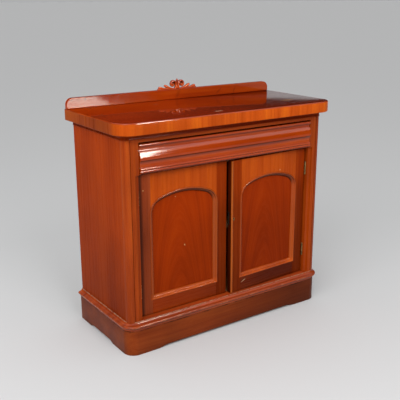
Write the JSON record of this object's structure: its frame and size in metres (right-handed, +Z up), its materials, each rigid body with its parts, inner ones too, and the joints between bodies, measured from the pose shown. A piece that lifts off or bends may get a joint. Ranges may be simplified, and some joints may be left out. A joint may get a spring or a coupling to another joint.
{
  "type": "sideboard",
  "caption": "Polished mahogany sideboard with low crested gallery, moulded frieze drawer, arch-panelled cupboard doors and a round-cornered plinth.",
  "frame": {"origin": "on the floor, in the middle of the outline seen from above", "axes": "+X along the front to the right, -Y towards the room, +Z up"},
  "size_m": [1.1, 0.492, 1.073],
  "materials": {
    "top_veneer": "french polished mahogany",
    "edge_veneer": "polished cross-grained veneer",
    "case_wood": "french polished mahogany",
    "door_wood": "french polished mahogany",
    "flame_panel": "polished flame veneer",
    "plinth_wood": "polished, a little worn",
    "inside_wood": "bare softwood",
    "brass": "dull old brass",
    "steel": "dull"
  },
  "bodies": {
    "case": {"back_boards": "inside_wood", "bed_mould_front": "case_wood", "bed_mould_returns": "case_wood", "bottom_bearers": "inside_wood", "bottom_board": "inside_wood", "corner_posts": "case_wood", "crest_carving": "case_wood", "drawer_guides": "inside_wood", "drawer_kickers": "inside_wood", "drawer_rail": "case_wood", "drawer_runners": "inside_wood", "drawer_stops": "inside_wood", "front_stiles": "case_wood", "gallery_back": "case_wood", "hinge_case_screws": "steel", "hinge_fixed_leaves": "brass", "hinge_pins": "steel", "hinge_posts": "inside_wood", "plinth_back": "inside_wood", "plinth_corners": "plinth_wood", "plinth_front": "plinth_wood", "plinth_glue_blocks": "inside_wood", "plinth_mould_front": "plinth_wood", "plinth_mould_returns": "plinth_wood", "plinth_sides": "plinth_wood", "shelf": "inside_wood", "shelf_battens": "inside_wood", "side_panel_left": "case_wood", "side_panel_right": "case_wood", "top_board": "top_veneer", "top_lining": "edge_veneer", "top_rail_front": "case_wood", "top_rail_rear": "inside_wood"},
    "drawer": {"drawer_front": "case_wood", "drawer_sides": "inside_wood", "drawer_back": "inside_wood", "drawer_bottom": "inside_wood"},
    "left_door": {"left_door_bolt_plate": "brass", "left_door_bottom_rail": "door_wood", "left_door_hinge_leaves": "brass", "left_door_hinge_screws": "steel", "left_door_hinge_stile": "door_wood", "left_door_meeting_stile": "door_wood", "left_door_panel": "flame_panel", "left_door_panel_mould": "door_wood", "left_door_top_rail": "door_wood"},
    "right_door": {"right_door_bottom_rail": "door_wood", "right_door_closing_bead": "door_wood", "right_door_hinge_leaves": "brass", "right_door_hinge_screws": "steel", "right_door_hinge_stile": "door_wood", "right_door_keyhole_rim": "brass", "right_door_lock_case": "brass", "right_door_meeting_stile": "door_wood", "right_door_panel": "flame_panel", "right_door_panel_mould": "door_wood", "right_door_top_rail": "door_wood"},
    "left_bolt": {"left_door_bolt": "brass"},
    "lock_bolt": {"right_door_lock_bolt": "brass"}
  },
  "joints": [
    {"name": "left_door_hinge", "type": "hinge", "parent": "case", "child": "left_door", "pos_m": [-0.4445, -0.18, 0.45], "axis": [0, 0, -1], "range_deg": [0, 100]},
    {"name": "right_door_hinge", "type": "hinge", "parent": "case", "child": "right_door", "pos_m": [0.4445, -0.18, 0.45], "axis": [0, 0, 1], "range_deg": [-2.5, 97.5]},
    {"name": "drawer_slide", "type": "slide", "parent": "case", "child": "drawer", "axis": [0, -1, 0], "range_m": [0, 0.32]},
    {"name": "left_door_bolt_slide", "type": "slide", "parent": "left_door", "child": "left_bolt", "axis": [0, 0, 1], "range_m": [0, 0.01]},
    {"name": "lock_bolt_slide", "type": "slide", "parent": "right_door", "child": "lock_bolt", "axis": [-0.999, -0.0436, 0], "range_m": [0, 0.012]}
  ]
}
